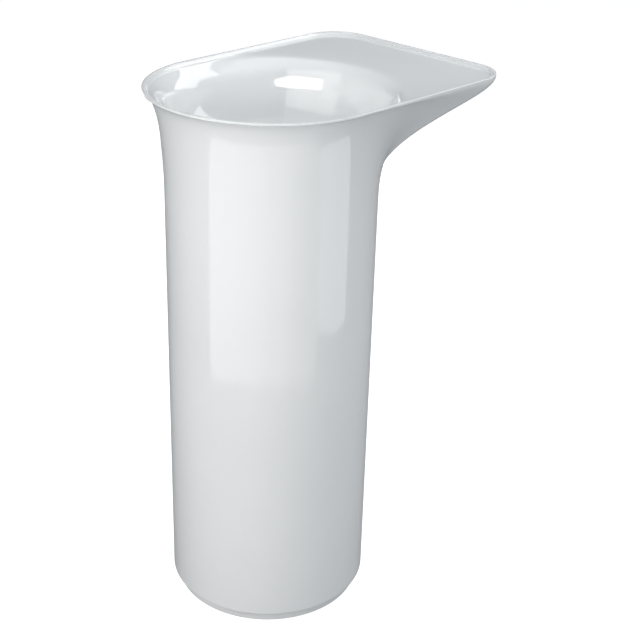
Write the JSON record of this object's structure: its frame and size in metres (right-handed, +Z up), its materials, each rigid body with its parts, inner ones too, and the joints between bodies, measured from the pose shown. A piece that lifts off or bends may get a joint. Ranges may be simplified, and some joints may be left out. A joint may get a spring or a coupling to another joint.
{
  "type": "pedestal sink",
  "caption": "Free-standing white ceramic basin: round column flaring to a drop-shaped bowl with a flat shelf at the wall, on a low foot ring, with push waste, bottle trap and floor clamps.",
  "frame": {"origin": "middle of the part's floor area: centre of the overall box in plan, on the floor", "axes": "+Z up, +Y towards the wall, X across the basin's width"},
  "size_m": [0.394, 0.551, 0.9],
  "materials": {
    "ceramic_glaze": "gloss glaze over white sanitary ceramic",
    "ring_white": "white, glossy",
    "black_rubber": "matt",
    "zinc_steel": "zinc plated",
    "chrome": "polished",
    "brass": "machined",
    "white_plastic": "moulded polypropylene",
    "spring_steel": "drawn wire"
  },
  "bodies": {
    "basin": {"ceramic_body": "ceramic_glaze", "foot_ring": "ring_white", "base_gasket": "black_rubber", "hold_down_bolt_1": "zinc_steel", "clamp_bar_1": "zinc_steel", "clamp_pad_1": "black_rubber", "clamp_washer_1": "zinc_steel", "clamp_nut_1": "zinc_steel", "hold_down_bolt_2": "zinc_steel", "clamp_bar_2": "zinc_steel", "clamp_pad_2": "black_rubber", "clamp_washer_2": "zinc_steel", "clamp_nut_2": "zinc_steel", "hold_down_bolt_3": "zinc_steel", "clamp_bar_3": "zinc_steel", "clamp_pad_3": "black_rubber", "clamp_washer_3": "zinc_steel", "clamp_nut_3": "zinc_steel", "waste_body": "chrome", "flange_gasket": "black_rubber", "lower_gasket": "black_rubber", "friction_washer": "white_plastic", "back_nut": "brass", "click_cartridge": "white_plastic", "plug_spring": "spring_steel", "union_nut": "white_plastic", "union_gasket": "black_rubber", "tailpiece": "white_plastic", "trap_inlet_nut": "white_plastic", "trap_inlet_washer": "black_rubber", "trap_head": "white_plastic", "dip_tube": "white_plastic", "trap_cup": "white_plastic", "cup_seal": "black_rubber", "outlet_nut": "white_plastic", "outlet_washer": "black_rubber", "waste_pipe": "white_plastic", "floor_collar": "black_rubber"},
    "plug": {"plug_cap": "chrome", "plug_seal": "black_rubber", "plug_stem": "brass"}
  },
  "joints": [
    {"name": "plug_push", "type": "slide", "parent": "basin", "child": "plug", "axis": [0, 0, 1], "range_m": [-0.008, 0], "stiffness_N_per_m": 300, "springref_m": 0.008, "deforming": ["plug_spring"]}
  ]
}
